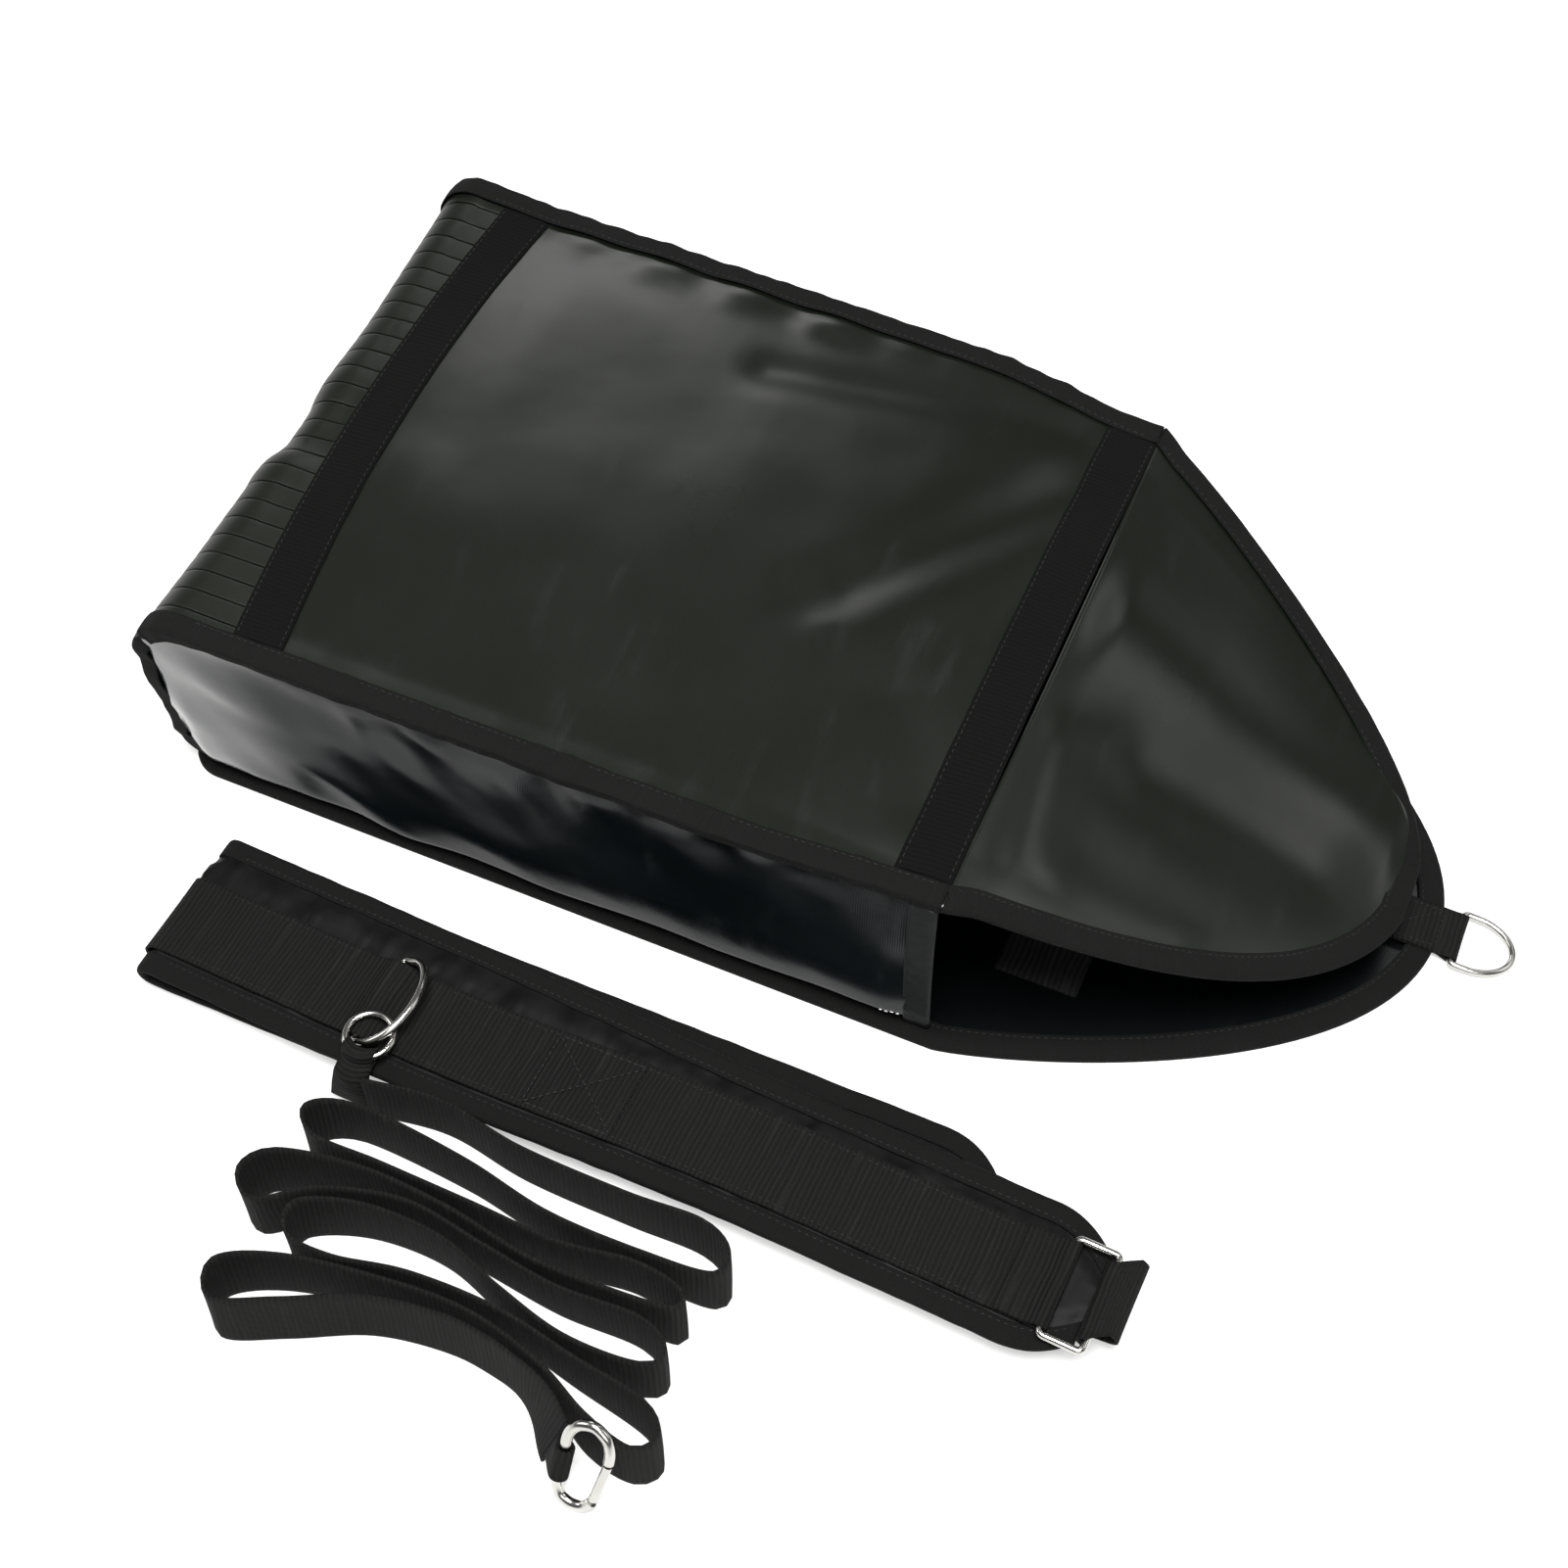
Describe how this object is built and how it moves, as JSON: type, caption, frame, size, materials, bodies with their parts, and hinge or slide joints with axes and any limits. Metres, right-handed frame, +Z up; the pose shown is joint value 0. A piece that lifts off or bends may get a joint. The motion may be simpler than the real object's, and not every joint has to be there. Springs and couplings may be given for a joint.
{
  "type": "fabric drag sled",
  "caption": "Low tarpaulin drag sled bag with a rounded nose, drooping flap and towing ring, with its padded waist belt and long folded pull strap with a snap hook laid beside it.",
  "frame": {"origin": "on the floor, under the middle of the bag and the belt laid beside it", "axes": "+X along the bag from its rear wall to its nose, +Y from the belt to the bag's far side, +Z up"},
  "size_m": [0.7529, 0.6667, 0.159],
  "materials": {
    "tarpaulin": "satin, coated",
    "glossy_pvc": "glossy",
    "webbing": "matt, ribbed",
    "binding": "matt tape",
    "padding": "matt",
    "steel": "bright plated"
  },
  "bodies": {
    "sled": {"bottom_panel": "tarpaulin", "bottom_binding": "binding", "rear_panel": "tarpaulin", "top_panel": "tarpaulin", "rear_cross_strap": "webbing", "front_cross_strap": "webbing", "side_gusset_near": "glossy_pvc", "side_gusset_far": "glossy_pvc", "mouth_hem_near": "glossy_pvc", "mouth_hem_far": "glossy_pvc", "rear_binding_near": "binding", "rear_binding_far": "binding", "top_binding_near": "binding", "top_binding_far": "binding", "closure_loop_strip": "webbing", "nose_tab": "webbing", "belt_pad": "padding", "belt_binding_near": "binding", "belt_binding_far": "binding", "belt_webbing": "webbing", "belt_closing_strap": "webbing", "pull_strap": "webbing", "strap_ring_loop": "webbing", "carabiner_loop": "webbing"},
    "flap": {"front_flap": "tarpaulin", "flap_binding": "binding", "closure_hook_strip": "webbing"},
    "towing_ring": {"nose_d_ring": "steel"},
    "back_ring": {"belt_d_ring": "steel"},
    "end_ring": {"belt_end_ring": "steel"},
    "round_ring": {"strap_ring": "steel"},
    "snap_hook": {"carabiner_body": "steel"},
    "hook_gate": {"carabiner_gate": "steel"}
  },
  "joints": [
    {"name": "flap_hinge", "type": "hinge", "parent": "sled", "child": "flap", "pos_m": [0.0943, 0.0708, 0.1455], "axis": [0, -1, 0], "range_deg": [0, 115]},
    {"name": "towing_ring_swing", "type": "hinge", "parent": "sled", "child": "towing_ring", "pos_m": [0.343, 0.0708, 0.0042], "axis": [0, -1, 0], "range_deg": [0, 155]},
    {"name": "back_ring_swing", "type": "hinge", "parent": "sled", "child": "back_ring", "pos_m": [-0.18192, -0.21229, 0.02465], "axis": [-0.0366, -0.9993, 0], "range_deg": [0, 42]},
    {"name": "end_ring_swing", "type": "hinge", "parent": "sled", "child": "end_ring", "pos_m": [0.20909, -0.21912, 0.0262], "axis": [-0.0366, -0.9993, 0], "range_deg": [-4, 4]},
    {"name": "round_ring_turn", "type": "hinge", "parent": "sled", "child": "round_ring", "pos_m": [-0.1735, -0.2354, 0.031], "axis": [0, 0, 1], "continuous": true},
    {"name": "snap_hook_swing", "type": "hinge", "parent": "sled", "child": "snap_hook", "pos_m": [0.02141, -0.39407, 0.0251], "axis": [-0.0176, -0.5296, -0.848], "range_deg": [0, 100]},
    {"name": "hook_gate_hinge", "type": "hinge", "parent": "snap_hook", "child": "hook_gate", "pos_m": [0.04091, -0.40341, 0.01119], "axis": [-0.0281, -0.8476, 0.5299], "range_deg": [0, 20], "stiffness_Nm_per_rad": 0.05, "springref_deg": -22.92}
  ]
}
